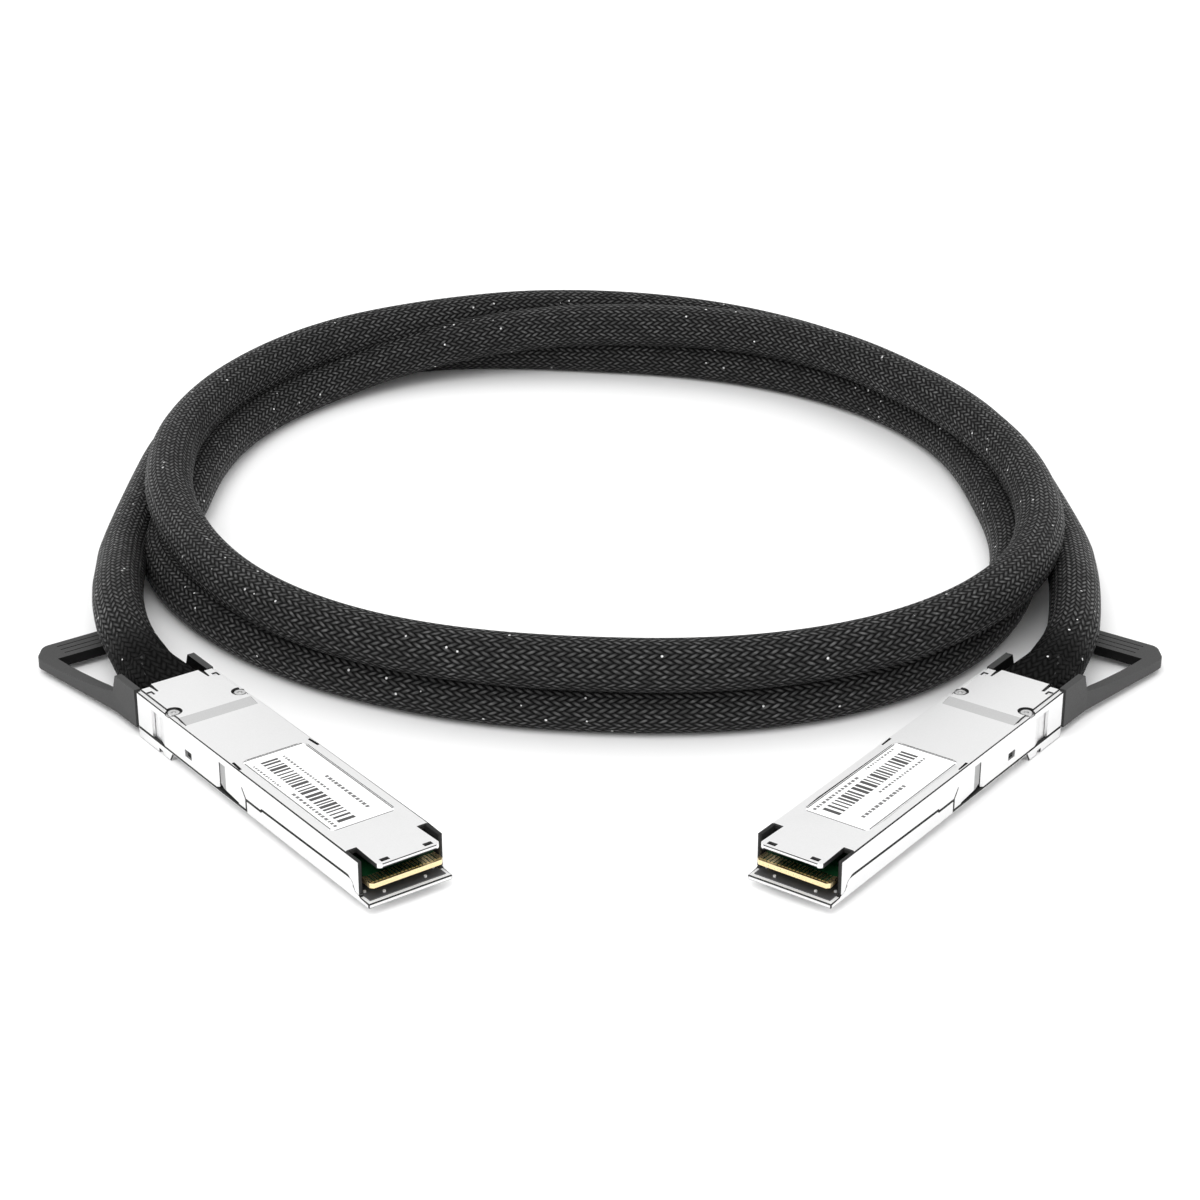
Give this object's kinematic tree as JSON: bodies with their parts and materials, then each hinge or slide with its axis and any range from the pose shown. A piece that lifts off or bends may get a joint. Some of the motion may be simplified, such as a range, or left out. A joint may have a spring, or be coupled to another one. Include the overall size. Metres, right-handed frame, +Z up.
{
  "type": "direct attach copper cable",
  "caption": "Coiled, black braided twinax cable with a flat, nickel plated plug on each end, each with a gold-edged card and a black pull tab for its latch.",
  "frame": {"origin": "on the surface the cable lies on, under the middle of the two plugs' box; the coil lies behind it", "axes": "+X to the right from the left plug to the right one, +Y from the plugs' noses towards the coil, +Z up"},
  "size_m": [0.241, 0.301, 0.0214],
  "materials": {
    "shell_zinc": "die-cast zinc, satin nickel plate",
    "latch_steel": "stamped stainless steel, satin",
    "spring_steel": "spring wire, bare",
    "screw_steel": "nickel plated",
    "card_green": "solder mask on glass epoxy",
    "contact_gold": "hard gold plate",
    "chip_black": "moulded epoxy",
    "film_grey": "matt polymer film",
    "pair_jacket": "smooth extruded jacket",
    "mold_resin": "low pressure moulded hot melt",
    "crimp_copper": "plain copper alloy",
    "relief_black": "moulded elastomer, matt",
    "tab_black": "moulded nylon, fine texture",
    "label_white": "smooth label stock",
    "cable_braid": "woven polyester sleeve"
  },
  "bodies": {
    "cable_assembly": {"left_top_shell": "shell_zinc", "left_bottom_shell": "shell_zinc", "left_paddle_card": "card_green", "left_card_contacts": "contact_gold", "left_memory_chip": "chip_black", "left_card_insulator": "film_grey", "left_twinax_pairs": "pair_jacket", "left_wire_mold": "mold_resin", "left_crimp_ring": "crimp_copper", "left_strain_relief": "relief_black", "left_return_springs": "spring_steel", "left_shell_screws": "screw_steel", "left_label": "label_white", "right_top_shell": "shell_zinc", "right_bottom_shell": "shell_zinc", "right_paddle_card": "card_green", "right_card_contacts": "contact_gold", "right_memory_chip": "chip_black", "right_card_insulator": "film_grey", "right_twinax_pairs": "pair_jacket", "right_wire_mold": "mold_resin", "right_crimp_ring": "crimp_copper", "right_strain_relief": "relief_black", "right_return_springs": "spring_steel", "right_shell_screws": "screw_steel", "right_label": "label_white", "cable_coil": "cable_braid", "left_cable_lead": "cable_braid", "right_cable_lead": "cable_braid"},
    "left_latch": {"left_latch_slider": "latch_steel", "left_pull_tab": "tab_black"},
    "right_latch": {"right_latch_slider": "latch_steel", "right_pull_tab": "tab_black"}
  },
  "joints": [
    {"name": "left_pull", "type": "slide", "parent": "cable_assembly", "child": "left_latch", "axis": [-0.592, 0.8059, 0], "range_m": [0, 0.002], "stiffness_N_per_m": 900, "springref_m": -0.001},
    {"name": "right_pull", "type": "slide", "parent": "cable_assembly", "child": "right_latch", "axis": [0.592, 0.8059, 0], "range_m": [0, 0.002], "stiffness_N_per_m": 900, "springref_m": -0.001}
  ]
}
